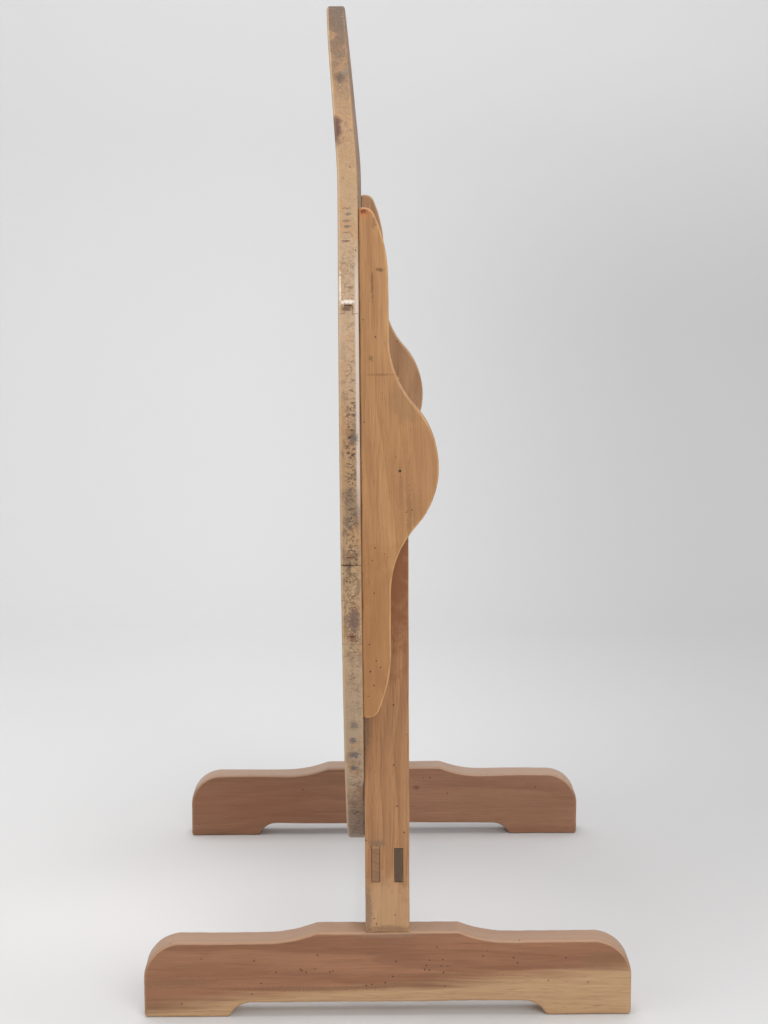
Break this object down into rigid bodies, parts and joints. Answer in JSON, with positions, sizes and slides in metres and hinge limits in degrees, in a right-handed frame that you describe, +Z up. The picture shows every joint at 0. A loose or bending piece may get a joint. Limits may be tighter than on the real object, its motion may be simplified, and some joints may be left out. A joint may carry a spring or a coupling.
{
  "type": "tilt-top trestle table",
  "caption": "Round plank top on two shaped bearers that tilts from level to upright between the posts of a wooden trestle base, with a locking peg.",
  "frame": {"origin": "on the floor, midway between the two feet, below the pivot line", "axes": "+Z up, +Y along the pivot line from the near trestle to the far one, +X away from the top's upper face when the top is tilted"},
  "size_m": [0.6, 1.11, 1.2419],
  "materials": {
    "top_plank_wood": "weathered, worn satin",
    "light_bearer_wood": "waxed satin",
    "dark_bearer_wood": "waxed satin",
    "foot_wood": "waxed satin",
    "post_wood": "waxed satin",
    "rail_wood": "waxed satin",
    "peg_wood": "dry matte",
    "pin_wood": "polished by wear"
  },
  "bodies": {
    "base": {"foot_near": "foot_wood", "foot_far": "foot_wood", "post_near": "post_wood", "post_far": "post_wood", "foot_wedges_near": "peg_wood", "foot_wedges_far": "peg_wood", "lower_rail": "rail_wood", "lower_rail_shims": "peg_wood", "upper_rail": "rail_wood", "upper_rail_shims": "peg_wood", "pivot_pin_near": "pin_wood", "pivot_pin_far": "pin_wood"},
    "top": {"plank_1": "top_plank_wood", "plank_2": "top_plank_wood", "plank_3": "top_plank_wood", "plank_4": "top_plank_wood", "bearer_near": "light_bearer_wood", "bearer_far": "dark_bearer_wood", "bearer_pegs_near": "peg_wood", "bearer_pegs_far": "peg_wood"},
    "lock_peg": {"locking_peg": "peg_wood"}
  },
  "joints": [
    {"name": "top_tilt", "type": "hinge", "parent": "base", "child": "top", "pos_m": [0, 0, 0.687], "axis": [0, 1, 0], "range_deg": [0, 90.21]},
    {"name": "peg_slide", "type": "slide", "parent": "base", "child": "lock_peg", "axis": [0, -1, 0], "range_m": [0, 0.0178]}
  ]
}
